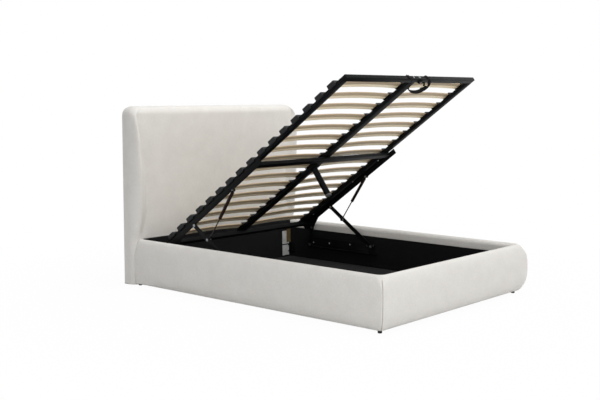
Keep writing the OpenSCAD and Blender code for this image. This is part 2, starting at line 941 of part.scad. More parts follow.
// Half an oval with short straight ends, as a band of one thickness
module strap_outline() {
    straight = 12;
    polygon([for (band = [1, -1]) for (i = [0 : 24])
        let (a = band * (i * 7.5 - 90),
            rx = strap_span / 2 + band * strap_t / 2,
            rz = strap_drop - straight + band * strap_t / 2)
        [rx * sin(a), -straight - rz * cos(a)]]);
    for (x = [-strap_span / 2, strap_span / 2])
        translate([x - strap_t / 2, -straight - eps]) square([strap_t, straight + eps]);
}

module frame_bolts() {
    flange_s = [for (share = [0.063, 0.354, 0.833]) hinge_bar_s0 + share * (hinge_bar_s1 - hinge_bar_s0)];
    color(zinc)
        on_platform() {
            for (side = [-1, 1], s = flange_s)
                on_side(side)
                    translate([tube_x - tube_w / 2, s, -wall])
                        mirror([0, 0, 1]) screw_head(bolt_head_d, bolt_head_h);
            translate([0, platform_l - tube_w / 2, 0])
                mirror([0, 0, 1]) screw_head(bolt_head_d, bolt_head_h);
            for (x = [strap_x - 0.234 * strap_span, strap_x + 0.078 * strap_span])
                translate([x, 0, tube_h / 2])
                    rotate([90, 0, 0]) screw_head(bolt_head_d, bolt_head_h);
        }
}

// Turns a piece drawn along +X, from the strut's upper pivot to its lower one, into place
module on_strut() {
    translate([strut_x, strut_high[0], strut_high[1]])
        rotate([heading(strut_low - strut_high), 0, 0])
            rotate([0, 0, 90])
                children();
}

gland_l = 14;
bore_d = strut_d - 3;

module strut_cylinder(side) {
    body_start = eye_d / 2 + 6;
    color(steel_black)
        on_side(side)
            on_strut()
                difference() {
                    union() {
                        translate([0, 0, 0]) rotate([90, 0, 0])
                            cylinder(d = eye_d, h = eye_t, center = true);
                        translate([eye_d / 2 - 3, 0, 0]) rotate([0, 90, 0])
                            cylinder(d = eye_t - 2, h = body_start - eye_d / 2 + 4);
                        translate([body_start, 0, 0]) rotate([0, 90, 0])
                            cylinder(d = strut_d, h = cylinder_l - body_start);
                    }
                    rotate([90, 0, 0])
                        cylinder(d = bolt_d + 2 * pin_gap, h = eye_t + 2, center = true);
                    translate([body_start + 6, 0, 0]) rotate([0, 90, 0])
                        cylinder(d = bore_d, h = cylinder_l - body_start - 6 - gland_l);
                    translate([cylinder_l - gland_l - 1, 0, 0]) rotate([0, 90, 0])
                        cylinder(d = rod_d + 2 * pin_gap, h = gland_l + 2);
                }
}

// The rod's stub stops short of the arm: the strut's lower pivot is left open
module strut_rod(side) {
    piston_at = cylinder_l - gland_l - 16;
    stub_l = arm_x - (strut_x + eye_t / 2) - run_gap - 0.1;
    color(zinc)
        on_side(side)
            on_strut()
                union() {
                    translate([piston_at, 0, 0]) rotate([0, 90, 0])
                        cylinder(d = rod_d, h = strut_l - piston_at - eye_d / 2 + 3);
                    translate([piston_at, 0, 0]) rotate([0, 90, 0])
                        cylinder(d = bore_d - 2 * pin_gap, h = 10);
                    translate([strut_l - eye_d / 2 - 18, 0, 0]) rotate([0, 90, 0])
                        cylinder(d = rod_d + 4, h = 16);
                    translate([strut_l, 0, 0]) rotate([90, 0, 0])
                        cylinder(d = eye_d, h = eye_t, center = true);
                    translate([strut_l, -eye_t / 2 + eps, 0]) rotate([90, 0, 0])
                        cylinder(d = bolt_d + 2, h = stub_l);
                }
}

rail_cover(-1);  // left_rail_cover
rail_cover(1);  // right_rail_cover
foot_cover();
rail_board(-1);  // left_rail_board
rail_board(1);  // right_rail_board
foot_board();
side_lining(-1);  // left_lining
side_lining(1);  // right_lining
foot_lining();
head_lining();
head_crossboard();
floor_panel(false);  // floor_panel_foot
floor_panel(true);  // floor_panel_head
floor_battens();
corner_glides();
floor_glides();
foot_bracket(-1);  // foot_bracket_left
foot_bracket(1);  // foot_bracket_right
head_bracket(-1);  // head_bracket_left
head_bracket(1);  // head_bracket_right
bracket_bolts();
ledge(-1);  // ledge_left
ledge(1);  // ledge_right
headboard_pad();
headboard_frame();
headboard_back();
wing(-1);  // wing_left
wing(1);  // wing_right
base_rail(-1);  // base_rail_left
base_rail(1);  // base_rail_right
base_rail_bolts();
base_pivot_pins();
lift_arm(-1);  // lift_arm_left
lift_arm(1);  // lift_arm_right
rear_link(-1);  // rear_link_left
rear_link(1);  // rear_link_right
platform_tube(-1);  // platform_tube_left
platform_tube(1);  // platform_tube_right
foot_bar();
head_bar();
centre_beam();
mid_crossbar();
rear_tie_bar();
hinge_bar(-1);  // hinge_bar_left
hinge_bar(1);  // hinge_bar_right
platform_pins();
slats(-1);  // slats_left
slats(1);  // slats_right
holders(-1);  // holders_left
holders(1);  // holders_right
holders_centre();
support_leg();
leg_foot();
pull_strap();
frame_bolts();
strut_cylinder(-1);  // strut_cylinder_left
strut_cylinder(1);  // strut_cylinder_right
strut_rod(-1);  // strut_rod_left
strut_rod(1);  // strut_rod_right
strut_studs();
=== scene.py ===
import bpy
import json
import math
from mathutils import Matrix, Vector

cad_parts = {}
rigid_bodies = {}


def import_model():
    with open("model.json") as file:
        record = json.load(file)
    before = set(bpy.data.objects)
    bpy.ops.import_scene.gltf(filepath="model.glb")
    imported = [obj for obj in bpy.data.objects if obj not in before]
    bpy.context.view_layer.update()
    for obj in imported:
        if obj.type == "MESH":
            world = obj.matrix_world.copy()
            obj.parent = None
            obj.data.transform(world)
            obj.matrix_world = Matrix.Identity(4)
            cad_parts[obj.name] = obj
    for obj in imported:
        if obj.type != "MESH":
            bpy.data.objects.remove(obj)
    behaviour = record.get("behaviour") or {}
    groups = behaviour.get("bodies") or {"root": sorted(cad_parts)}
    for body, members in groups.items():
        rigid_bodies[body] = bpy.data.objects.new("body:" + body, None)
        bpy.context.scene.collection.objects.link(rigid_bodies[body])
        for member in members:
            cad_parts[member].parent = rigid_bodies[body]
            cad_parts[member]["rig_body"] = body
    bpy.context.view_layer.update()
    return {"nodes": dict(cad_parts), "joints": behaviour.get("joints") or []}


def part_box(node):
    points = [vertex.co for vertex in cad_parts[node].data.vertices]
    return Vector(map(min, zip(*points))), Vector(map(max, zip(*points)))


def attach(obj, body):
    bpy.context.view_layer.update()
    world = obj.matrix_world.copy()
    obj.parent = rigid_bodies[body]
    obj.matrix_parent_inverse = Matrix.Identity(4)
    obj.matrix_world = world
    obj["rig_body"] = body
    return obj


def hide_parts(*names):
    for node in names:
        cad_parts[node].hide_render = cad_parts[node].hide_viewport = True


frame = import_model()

nodes = frame["nodes"]
deg = math.pi / 180
print("frame loaded:", len(nodes), "nodes")

# camera
cameraSet = {
    "place": (-5.2235, -4.3120, 1.3549),
    "yaw": 49.06,                                   # from +Y towards +X, degrees
    "pitch": 6.18,                                  # downwards
    "roll": 0.15,
    "lens": 59.51,
    "sensor": 36,                                   # its width in mm
    "farthest": 60,
}


def makeCamera(c):
    yaw, pitch, roll = c["yaw"] * deg, c["pitch"] * deg, c["roll"] * deg
    ahead = Vector((math.sin(yaw) * math.cos(pitch), math.cos(yaw) * math.cos(pitch), -math.sin(pitch)))
    right = Vector((math.cos(yaw), -math.sin(yaw), 0))
    up = right.cross(ahead)
    tiltedRight = right * math.cos(roll) + up * math.sin(roll)
    tiltedUp = up * math.cos(roll) - right * math.sin(roll)
    bpy.ops.object.camera_add(location=c["place"])
    camera = bpy.context.object
    camera.rotation_euler = Matrix((tiltedRight, tiltedUp, -ahead)).transposed().to_euler()
    camera.data.sensor_width = c["sensor"]
    camera.data.lens = c["lens"]
    camera.data.clip_end = c["farthest"]
    bpy.context.scene.camera = camera


makeCamera(cameraSet)


# shader helpers
class Wire:                                         # a socket that takes + - * / with wires and numbers
    def __init__(self, net, socket):
        self.net, self.socket = net, socket

    def __add__(self, other):
        return self.net.math("ADD", self, other)

    def __sub__(self, other):
        return self.net.math("SUBTRACT", self, other)

    def __mul__(self, other):
        return self.net.math("MULTIPLY", self, other)

    def __truediv__(self, other):
        return self.net.math("DIVIDE", self, other)


class Net:                                          # the shader nodes of a material or of the world
    def __init__(self, owner, shader, end, fixed=None):
        owner.use_nodes = True
        self.owner, self.tree = owner, owner.node_tree
        self.shader, self.end = self.tree.nodes[shader], self.tree.nodes[end]
        for socket, value in (fixed or {}).items():
            self.shader.inputs[socket].default_value = value

    def node(self, kind, settings=None, inputs=None, output=0):
        made = self.tree.nodes.new(kind)
        for key, value in (settings or {}).items():
            setattr(made, key, value)
        for key, value in (inputs or {}).items():
            if isinstance(value, Wire):
                self.tree.links.new(value.socket, made.inputs[key])
            else:
                made.inputs[key].default_value = value
        return Wire(self, made.outputs[output])

    def outputs(self, wire, *names):                # further outputs of the node that a wire comes from
        return [Wire(self, wire.socket.node.outputs[name]) for name in names]

    def math(self, operation, a, b=0.0, c=0.0):
        return self.node("ShaderNodeMath", {"operation": operation}, {0: a, 1: b, 2: c})

    def mix(self, factor, a, b, blend="MIX"):
        return self.node("ShaderNodeMix", {"data_type": "RGBA", "blend_type": blend},
                         {0: factor, 6: a, 7: b}, 2)

    def spread(self, value, low, high, a=0.0, b=1.0):    # a smooth step from low to high
        return self.node("ShaderNodeMapRange", {"interpolation_type": "SMOOTHSTEP"},
                         {"Value": value, "From Min": low, "From Max": high, "To Min": a, "To Max": b})

    def noise(self, where, scale, detail=2.0, rough=0.5, stretch=(1, 1, 1)):
        held = self.node("ShaderNodeMapping", None, {"Vector": where, "Scale": stretch})
        return self.node("ShaderNodeTexNoise", None,
                         {"Vector": held, "Scale": scale, "Detail": detail, "Roughness": rough})

    def place(self):
        return self.node("ShaderNodeTexCoord", None, None, "Object")

    def cloth(self):
        return self.node("ShaderNodeUVMap", {"uv_map": "cloth"})

    def parts(self, vector):
        return self.outputs(self.node("ShaderNodeSeparateXYZ", None, {0: vector}), "X", "Y", "Z")

    def feed(self, socket, wire):
        self.tree.links.new(wire.socket, self.shader.inputs[socket])

    def bump(self, height, strength, distance, under=None):
        inputs = {"Height": height, "Strength": strength, "Distance": distance}
        if under:
            inputs["Normal"] = under
        return self.node("ShaderNodeBump", None, inputs)


def newMaterial(name, fixed=None):
    return Net(bpy.data.materials.new(name), "Principled BSDF", "Material Output", fixed)


def paint(r, g, b):                                 # a colour as a picture shows it, 0 to 255
    def linear(v):
        v /= 255
        return v / 12.92 if v <= 0.04045 else ((v + 0.055) / 1.055) ** 2.4
    return (linear(r), linear(g), linear(b), 1)


# materials
linenSet = {
    "pale": (229, 227, 223),
    "deep": (205, 202, 197),
    # the warm dark colour below is painted shade, laid along the mitre seams and where the rails meet the
    # headboard
    "seam": (104, 86, 70),
    "thread": 0.0026,                               # spacing of the threads
    "wander": 0.0006,                               # how far a thread strays
}


def makeLinen(name, c):
    net = newMaterial(name, {"Roughness": 0.9, "Sheen Weight": 0.12, "Sheen Roughness": 0.5,
                             "Specular IOR Level": 0.25})
    where = net.cloth()
    stray = net.noise(where, 60, 1) * c["wander"]
    warp, weft = [net.math("SINE", (way + stray) * (2 * math.pi / c["thread"]))
                  for way in net.parts(where)[:2]]
    weave = warp * weft * 0.5 + 0.5
    slubAcross = net.noise(where, 1, 2, 0.6, (900, 45, 1))
    slubAlong = net.noise(where, 1, 2, 0.6, (45, 900, 1))
    cloud = net.noise(net.place(), 9, 3, 0.6)
    fleck = net.noise(net.place(), 160, 2, 0.7)
    shade = weave * 0.22 + slubAcross * 0.3 + slubAlong * 0.3 + fleck * 0.35 + cloud * 0.25
    colour = net.mix(net.spread(shade, 0.42, 1.05), paint(*c["deep"]), paint(*c["pale"]))
    # painted shade: each point's stored share pulls the linen towards the shade colour
    seam = net.node("ShaderNodeAttribute", {"attribute_name": "seam"}, None, 2)
    net.feed("Base Color", net.mix(seam, colour, paint(*c["seam"])))
    net.feed("Roughness", weave * 0.08 + 0.86)
    height = weave * 0.5 + slubAcross * 0.4 + slubAlong * 0.4 + fleck * 0.5
    net.feed("Normal", net.bump(height, 0.35, 0.0006))
    return net.owner


def makeFelt(name, dark, light, roughness):
    net = newMaterial(name, {"Specular IOR Level": 0.15, "Sheen Weight": 0.05})
    where = net.place()
    fibres = net.noise(where, 420, 3, 0.75)
    patches = net.noise(where, 6, 3, 0.6)
    net.feed("Base Color", net.mix(net.spread(fibres * 0.5 + patches * 0.5, 0.35, 0.7), dark, light))
    net.feed("Roughness", fibres * 0.1 + (roughness - 0.05))
    net.feed("Normal", net.bump(fibres, 0.3, 0.0008))
    return net.owner


def makePaintedSteel(name, dark, light, roughness):
    net = newMaterial(name, {"Specular IOR Level": 0.08})
    where = net.place()
    peel = net.noise(where, 700, 2, 0.6)
    patches = net.noise(where, 14, 3, 0.6)
    net.feed("Base Color", net.mix(net.spread(patches, 0.35, 0.7), dark, light))
    net.feed("Roughness", patches * 0.16 + peel * 0.06 + (roughness - 0.11))
    net.feed("Normal", net.bump(peel, 0.16, 0.0004))
    return net.owner


def makeBareMetal(name, dark, light, roughness):
    net = newMaterial(name, {"Metallic": 1.0})
    where = net.place()
    spangle = net.noise(where, 260, 3, 0.6)
    smear = net.noise(where, 30, 3, 0.6)
    net.feed("Base Color", net.mix(net.spread(spangle * 0.6 + smear * 0.4, 0.35, 0.65), dark, light))
    net.feed("Roughness", smear * 0.18 + spangle * 0.1 + (roughness - 0.14))
    net.feed("Normal", net.bump(spangle, 0.08, 0.0003))
    return net.owner


def makePlastic(name, dark, light, roughness):
    net = newMaterial(name, {"Specular IOR Level": 0.25})
    where = net.place()
    grain = net.noise(where, 900, 2, 0.6)
    patches = net.noise(where, 20, 2, 0.5)
    net.feed("Base Color", net.mix(net.spread(patches, 0.3, 0.7), dark, light))
    net.feed("Roughness", grain * 0.12 + (roughness - 0.06))
    net.feed("Normal", net.bump(grain, 0.14, 0.0003))
    return net.owner


def makePaper(name, dark, light, roughness):
    net = newMaterial(name, {"Specular IOR Level": 0.2})
    where = net.place()
    pulp = net.noise(where, 300, 3, 0.7)
    stain = net.noise(where, 25, 3, 0.6)
    net.feed("Base Color", net.mix(net.spread(pulp * 0.4 + stain * 0.6, 0.3, 0.7), dark, light))
    net.feed("Roughness", pulp * 0.1 + (roughness - 0.05))
    net.feed("Normal", net.bump(pulp, 0.2, 0.0003))
    return net.owner


finishSet = {                                       # maker, darker and lighter colour, mean roughness
    "wallFelt": (makeFelt, (6, 6, 7), (12, 12, 13), 0.95),
    # painted light: the floor felt is lighter than the wall felt, standing in for the light falling on it
    # from above
    "floorFelt": (makeFelt, (9, 9, 10), (18, 18, 19), 0.95),
    "backFelt": (makeFelt, (22, 22, 24), (38, 38, 41), 0.9),
    "blackSteel": (makePaintedSteel, (4, 5, 6), (9, 10, 12), 0.5),
    "strutSteel": (makePaintedSteel, (25, 14, 13), (36, 21, 19), 0.4),
    "zinc": (makeBareMetal, (116, 118, 121), (156, 158, 161), 0.38),
    "rodSteel": (makeBareMetal, (48, 44, 44), (72, 67, 66), 0.24),
    "blackPlastic": (makePlastic, (7, 8, 10), (14, 16, 18), 0.55),
    "greyPlastic": (makePlastic, (88, 89, 90), (108, 109, 110), 0.5),
    "whitePaper": (makePaper, (176, 176, 173), (206, 206, 203), 0.85),
    "kraftPaper": (makePaper, (88, 74, 46), (108, 92, 60), 0.85),
}
finish = {name: maker(name, paint(*dark), paint(*light), roughness)
          for name, (maker, dark, light, roughness) in finishSet.items()}
linen = makeLinen("linen", linenSet)
print("materials made")

# the slatted platform's own axes
barLow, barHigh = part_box("foot_bar")
platformSet = {
    "angle": 36 * deg,
    "tubeW": 0.040,
    "tubeH": 0.025,
    "firstSlat": 0.115,
    "slatPitch": 1.740 / 15,
    "slatEnds": (0.018, 0.688),                     # X of a slat's inner and outer end
    "slatSeat": 0.0282,                             # height of its underside at the ends
    "slatCrown": 0.012,                             # and how much it rises between them
    "slatThick": 0.008,
    "slatWide": 0.054,
}
barRise = platformSet["tubeH"] * math.cos(platformSet["angle"])
platformFoot = (barLow.y, barHigh.z - barRise)      # Y and Z of the platform's lower foot edge


def onPlatform(x, s, z):                            # s runs from the foot end, z up from the underside
    sin, cos = math.sin(platformSet["angle"]), math.cos(platformSet["angle"])
    return Vector((x, platformFoot[0] + s * cos + z * sin, platformFoot[1] - s * sin + z * cos))


birchSet = {
    "pale": (253, 240, 212),
    "mid": (247, 228, 192),
    "deep": (214, 186, 146),
    "plyLine": (206, 174, 134),
    # painted shade: this darker colour goes on the slats' long edges, which the lamps light
    "edge": (132, 108, 80),
    "plies": 4,
}


def makeBirch(name, c):
    p = platformSet
    net = newMaterial(name, {"Specular IOR Level": 0.35})
    x, y, z = net.parts(net.place())
    y, z = y - platformFoot[0], z - platformFoot[1]
    sin, cos = math.sin(p["angle"]), math.cos(p["angle"])
    along = y * cos - z * sin
    up = y * sin + z * cos
    shift = 0.25                                    # so that no slat is cut by the start of a row
    rows = (along - p["firstSlat"]) / p["slatPitch"] + shift
    row = net.math("FLOOR", rows)
    side = net.math("SIGN", x)
    tone = net.node("ShaderNodeTexWhiteNoise", {"noise_dimensions": "1D"}, {"W": row * 2.0 + side * 37.0})
    flat = net.node("ShaderNodeCombineXYZ", None, {0: x + tone * 3.0, 1: along, 2: up})
    figure = net.noise(flat, 1, 3, 0.55, (3.5, 55, 55))
    pores = net.noise(flat, 1, 2, 0.7, (40, 900, 900))
    inner, outer = p["slatEnds"]
    half = (outer - inner) / 2
    radius = (half ** 2 + p["slatCrown"] ** 2) / (2 * p["slatCrown"])
    reach = net.math("ABSOLUTE", x) - (inner + outer) / 2
    rise = up - (p["slatSeat"] + p["slatCrown"] - radius)
    depth = (net.math("SQRT", reach * reach + rise * rise) - radius) / p["slatThick"]
    layers = net.math("COSINE", depth * (2 * math.pi * c["plies"]))
    rim = net.math("ABSOLUTE", rows - row - (shift + p["slatWide"] / p["slatPitch"] / 2)) * p["slatPitch"]
    rimOuter = p["slatWide"] / 2
    pale, mid, deep, plyLine, edge = [paint(*c[key]) for key in ("pale", "mid", "deep", "plyLine", "edge")]
    colour = net.mix(net.spread(figure, 0.32, 0.68), pale, mid)
    colour = net.mix(net.spread(pores, 0.55, 0.8, 0, 0.45), colour, deep)
    colour = net.mix(tone * 0.35, colour, mid)
    colour = net.mix(net.spread(layers, -0.55, -0.95), colour, plyLine)
    # painted shade darkens the slats' long edges and the last millimetre or so of their faces
    colour = net.mix(net.spread(rim, rimOuter - 0.0016, rimOuter - 0.0006, 0, 0.7), colour, edge)
    net.feed("Base Color", colour)
    net.feed("Roughness", pores * 0.15 + 0.42)
    net.feed("Normal", net.bump(figure * 0.4 + pores * 0.6, 0.18, 0.0005))
    return net.owner


def makePine(name, pale, deep):
    net = newMaterial(name, {"Specular IOR Level": 0.3})
    where = net.place()
    rings = net.noise(where, 1, 3, 0.6, (2.5, 22, 30))
    pores = net.noise(where, 1, 2, 0.7, (30, 600, 600))
    net.feed("Base Color", net.mix(net.spread(rings * 0.7 + pores * 0.3, 0.35, 0.65), pale, deep))
    net.feed("Roughness", pores * 0.15 + 0.55)
    net.feed("Normal", net.bump(pores, 0.2, 0.0005))
    return net.owner


birch = makeBirch("birch", birchSet)
finish["pine"] = makePine("pine", paint(214, 184, 136), paint(180, 144, 98))
print("wood made")


# mesh helpers
mergeWithin = 0.00002


def only(piece):                                    # this object alone is selected and active
    bpy.ops.object.select_all(action="DESELECT")
    piece.select_set(True)
    bpy.context.view_layer.objects.active = piece


def editMode(on):
    bpy.ops.object.mode_set(mode="EDIT" if on else "OBJECT")


def finishPiece(piece, material, body, smooth=35):
    only(piece)
    piece.data.materials.clear()
    piece.data.materials.append(material)
    bpy.ops.object.shade_smooth_by_angle(angle=smooth * deg)
    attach(piece, body)
    return piece


def ease(t):                                        # 0 to 1 with soft ends
    t = min(max(t, 0), 1)
    return t * t * (3 - 2 * t)


def bell(distance, width):
    return math.exp(-(distance / width) ** 2)


def clothGrid(name, rows, paintedShades=None):              # a grid set to rows, with a cloth map in metres and a share of painted shade per point
    wide, high = len(rows[0]), len(rows)
    bpy.ops.object.select_all(action="DESELECT")
    bpy.ops.mesh.primitive_grid_add(x_subdivisions=wide - 1, y_subdivisions=high - 1, size=2)
    piece = bpy.context.object
    piece.name = piece.data.name = name
    mesh = piece.data
    across = [[0.0] * wide for j in range(high)]
    along = [[0.0] * wide for j in range(high)]
    for j in range(high):
        for i in range(wide):
            if i:
                across[j][i] = across[j][i - 1] + (rows[j][i] - rows[j][i - 1]).length
            if j:
                along[j][i] = along[j - 1][i] + (rows[j][i] - rows[j - 1][i]).length
    cells = [(round((v.co.x + 1) / 2 * (wide - 1)), round((v.co.y + 1) / 2 * (high - 1)))
             for v in mesh.vertices]
    # each point's share of painted shade
    seam = mesh.attributes.new("seam", "FLOAT", "POINT")
    for vertex, (i, j) in zip(mesh.vertices, cells):
        vertex.co = rows[j][i]
        seam.data[vertex.index].value = paintedShades[j][i] if paintedShades else 0.0
    layer = mesh.uv_layers[0]
    layer.name = "cloth"
    for loop in mesh.loops:
        i, j = cells[loop.vertex_index]
        layer.data[loop.index].uv = (across[j][i], along[j][i])
    return piece


def mergeDoubles(piece, within):                    # leaves the piece in edit mode with nothing selected
    only(piece)
    editMode(True)
    bpy.ops.mesh.select_all(action="SELECT")
    bpy.ops.mesh.remove_doubles(threshold=within)
    bpy.ops.mesh.select_all(action="DESELECT")


def weldAndFace(piece):                             # merges doubled points, then turns the faces outwards
    mergeDoubles(piece, mergeWithin)
    bpy.ops.mesh.select_all(action="SELECT")
    bpy.ops.mesh.normals_make_consistent(inside=False)
    bpy.ops.mesh.select_all(action="DESELECT")
    editMode(False)


def pickOpenEdge(piece):                            # leaves the piece in edit mode with that edge selected
    mergeDoubles(piece, mergeWithin)
    bpy.ops.mesh.select_mode(type="EDGE")
    bpy.ops.mesh.select_non_manifold(extend=False, use_wire=False, use_boundary=True,
                                     use_multi_face=False, use_non_contiguous=False, use_verts=False)


# padded rails
sideLow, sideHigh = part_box("right_rail_cover")
padLow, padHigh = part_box("headboard_pad")
railSet = {
    "sideX": sideLow.x,                             # inner face of a side rail
    "footY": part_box("foot_cover")[1].y,             # inner face of the foot rail
    "bottom": sideLow.z,
    "high": sideHigh.z - sideLow.z,
    "thick": 0.075,
    "fullest": 0.160,
    "tuck": 0.040,                                  # how far the section draws in at the bottom
    "round": 3.0,
    "crestX": 0.029,
    "lipRoll": 0.030,                               # height over which the crest rolls inwards
    "lipLow": 0.252,
    "lining": 0.0035,
    "liningLow": 0.015,
    "outside": 0.012,                               # the section's outer side starts this far out
    "outsideFull": 0.03,                            # and corner and slack are at their full from here
    "cornerLow": 0.012,                             # rounding of a foot corner low down
    "cornerHigh": 0.048,                            # and at the crest
    "cornerTurn": 0.24,                             # height at which the one starts to change to the other
    "cornerFade": 0.07,
    "seamTop": 0.283,                               # the mitre seam ends here, below the crest
    # width of the painted shade along a mitre seam
    "seamWide": 0.0019,
    "pinch": 0.0032,
    "pinchWide": 0.0065,
    "mitred": 0.2,                                  # length of a rail that the mitre shapes
    "length": 2.05,
    "flatEnd": 0.24,                                # the roll flattens over this length at the headboard
    "endPinch": 0.0035,                             # how far the end is drawn in there
    "endWide": 0.007,
    # painted shadow line where a rail meets the headboard
    "endShade": 0.35,
    "slack": 0.0005,                                # how far the tight cloth ripples
}
headSet = {
    "halfW": padHigh.x,
    "front": padLow.y,
    "back": padHigh.y,
    "bottom": padLow.z,
    "top": padHigh.z,
    "crestR": 0.058,
    "cornerR": 0.068,
    "backR": 0.030,
    "rollX": 0.045,                                 # the rounded edge from front to side
    "rollY": 0.050,
    "crown": 0.0035,                                # how far the panel swells
    "crownSpan": (0.3, 1.25),                       # between these heights
    "crownFade": 0.2,
    "valley": 0.002,                                # how deep the crease beside a wing is
    "valleyWide": 0.03,
    "wingLow": sideHigh.z,
    "wingHigh": 1.240,
    "wingReach": 0.046,
    "wingFoot": 0.082,                              # width of a wing at its foot
    "wingBelly": 0.124,
    "wingTop": 0.040,
    "wingNose": 0.36,                               # where in that width it stands out most
    "rowSteps": (0.004, 0.009, 0.018),              # spacings of the rows of points
    "rowsClose": (0.44, 1.13),                      # below and above these the middle step is used
    "crestFrom": 1.196,
    "backFrame": 0.028,                             # width of the black edge round the back panel
    "backDepth": 0.045,
}


def railProfile(r):                                 # closed, from the inner lower corner, outwards and up
    foot = r["thick"] - r["tuck"]
    points = [(0, 0), (foot * 0.5, 0), (foot - 0.004, 0.0002), (foot - 0.0005, 0.0012),
              (foot + 0.0016, 0.0038)]
    for k in range(1, 23):
        up = r["fullest"] * k / 22
        points.append((r["thick"] - r["tuck"] * (1 - k / 22) ** r["round"], up))
    for k in range(1, 31):
        a = k / 30 * math.pi / 2
        points.append((r["crestX"] + (r["thick"] - r["crestX"]) * math.cos(a),
                       r["fullest"] + (r["high"] - r["fullest"]) * math.sin(a)))
    for k in range(1, 10):
        a = k / 9 * math.pi / 2
        points.append((r["crestX"] * (1 - math.sin(a)), r["high"] - r["lipRoll"] * (1 - math.cos(a))))
    points += [(0, r["high"] - 0.052), (0, r["high"] - 0.058)]
    points += [(0, r["lipLow"] + 0.002), (0.0008, r["lipLow"])]
    points += [(r["lining"], up) for up in (r["lipLow"], 0.2, 0.1, r["liningLow"])]
    return points + [(0, r["liningLow"]), (0, 0)]


# distances from the mitre at which a rail has a row of points
nearSeam = [0, 0.0011, 0.0024, 0.004, 0.006, 0.009, 0.013, 0.018, 0.024, 0.031, 0.04, 0.05, 0.062, 0.078,
            0.1]


def cornerPoint(r, out, up, d):                     # (outwards, along, seam) at distance d from the mitre
    turned = ease((up - r["cornerTurn"]) / r["cornerFade"])
    bend = (r["cornerLow"] + (r["cornerHigh"] - r["cornerLow"]) * turned) * ease(out / r["outsideFull"])
    along = d
    turn = 0
    if bend > 0 and d < bend:
        turn = (1 - d / bend) * math.pi / 4
        out, along = out - bend * (1 - math.cos(turn)), bend * (1 - math.sin(turn))
    held = ease((r["seamTop"] - up) / 0.02 + 1) * ease(out / r["outside"])
    pull = r["pinch"] * bell(d, r["pinchWide"]) * held
    along += pull * (turn / (math.pi / 4)) if turn else (pull if d == 0 else 0)
    return out - pull, along, held


def rippled(a, b):                                  # slack in the tight cloth
    long = math.sin(5.1 * a + 1.3) * math.sin(19 * b + 0.4)
    short = math.sin(13.7 * a + 2) * math.sin(31 * b)
    return railSet["slack"] * (long + 0.6 * short)


def headRollY(x):                                   # Y of the headboard's front, x away from the middle
    h = headSet
    over = min(max((x - (h["halfW"] - h["rollX"])) / h["rollX"], 0), 1)
    return h["front"] + h["rollY"] * (1 - math.sqrt(1 - over * over))


def ringRows(stations, place):                      # rows of points, closed to a middle point at both ends
    profile = railProfile(railSet)
    rows, paintedShades = [], []
    for s in stations:
        made = [place(out, up, s) for out, up in profile]
        rows.append([Vector(m[0]) for m in made])
        paintedShades.append([m[1] for m in made])
    for index in (0, -1):
        middle = sum(rows[index], Vector()) / len(rows[index])
        cap = [middle] * len(profile)
        if index == 0:
            rows.insert(0, cap)
            paintedShades.insert(0, [0] * len(profile))
        else:
            rows.append(cap)
            paintedShades.append([0] * len(profile))
    return rows, paintedShades


def railPiece(name, stations, place, node):
    piece = clothGrid(name, *ringRows(stations, place))
    weldAndFace(piece)
    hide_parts(node)
    return finishPiece(piece, linen, "base")


def sideRail(name, side, node):
    r = railSet
    length = r["length"]
    stations = nearSeam + [nearSeam[-1] + 0.04 * k for k in range(1, 48)]
    stations += [length - d for d in (0.026, 0.018, 0.012, 0.008, 0.0045, 0.002, 0)]

    def place(out, up, s):
        if s < r["mitred"]:
            shifted, along, held = cornerPoint(r, out, up, s)
            y = r["footY"] - out + along
            # painted shade along the mitre seam
            shade = held * bell(s, r["seamWide"])
        else:
            left = length - s
            shifted = out
            end = headRollY(r["sideX"] + out) - (r["footY"] - out)
            y = r["footY"] - out + s + (end - length) * ease((s - r["mitred"]) / (length - r["mitred"]))
            if out > r["outside"] and up < r["fullest"]:
                filled = max(r["thick"] - 0.002 - out, 0)
                shifted += filled * ease(1 - left / r["flatEnd"]) * ease(up / 0.012)
            shifted -= r["endPinch"] * bell(left, r["endWide"]) * ease(out / 0.02)
            # painted shadow line at the headboard end of the rail
            shade = r["endShade"] * bell(left, 0.003)
        if out > r["outside"]:
            shifted += rippled(s, up) * ease(s / 0.05) * ease(out / r["outsideFull"])
        return (side * (r["sideX"] + shifted), y, r["bottom"] + up), shade

    return railPiece(name, stations, place, node)


def footRail(name, node):
    r = railSet
    stations = [("left", d) for d in nearSeam]
    stations += [("middle", k / 36) for k in range(1, 36)]
    stations += [("right", d) for d in reversed(nearSeam)]

    def place(out, up, station):
        where, d = station
        half = r["sideX"] + out
        if where == "middle":
            near = nearSeam[-1]
            shifted, x, shade = out, (-half + near) + (2 * half - 2 * near) * d, 0
        else:
            shifted, along, held = cornerPoint(r, out, up, d)
            x = (-half + along) * (1 if where == "left" else -1)
            # painted shade along the mitre seam
            shade = held * bell(d, r["seamWide"])
        if out > r["outside"] and where == "middle":
            shifted += rippled(x + 4, up) * ease(out / r["outsideFull"])
        return (x, r["footY"] - shifted, r["bottom"] + up), shade

    return railPiece(name, stations, place, node)


sideRail("leftRail", -1, "left_rail_cover")
sideRail("rightRail", 1, "right_rail_cover")
footRail("footRail", "foot_cover")
print("rails padded")


# headboard
def wingShape(z):                                   # how far the wing stands forward, and its width
    h = headSet
    u = (z - h["wingLow"]) / (h["wingHigh"] - h["wingLow"])
    width = h["wingFoot"] + (h["wingBelly"] - h["wingFoot"]) * ease(u / 0.22)
    width += (h["wingTop"] - h["wingBelly"]) * ease((u - 0.35) / 0.75)
    if u <= 0 or u >= 1:
        return 0.0, width
    return h["wingReach"] * (1 - abs(2 * u - 1) ** 2.4) ** (1 / 1.2), width


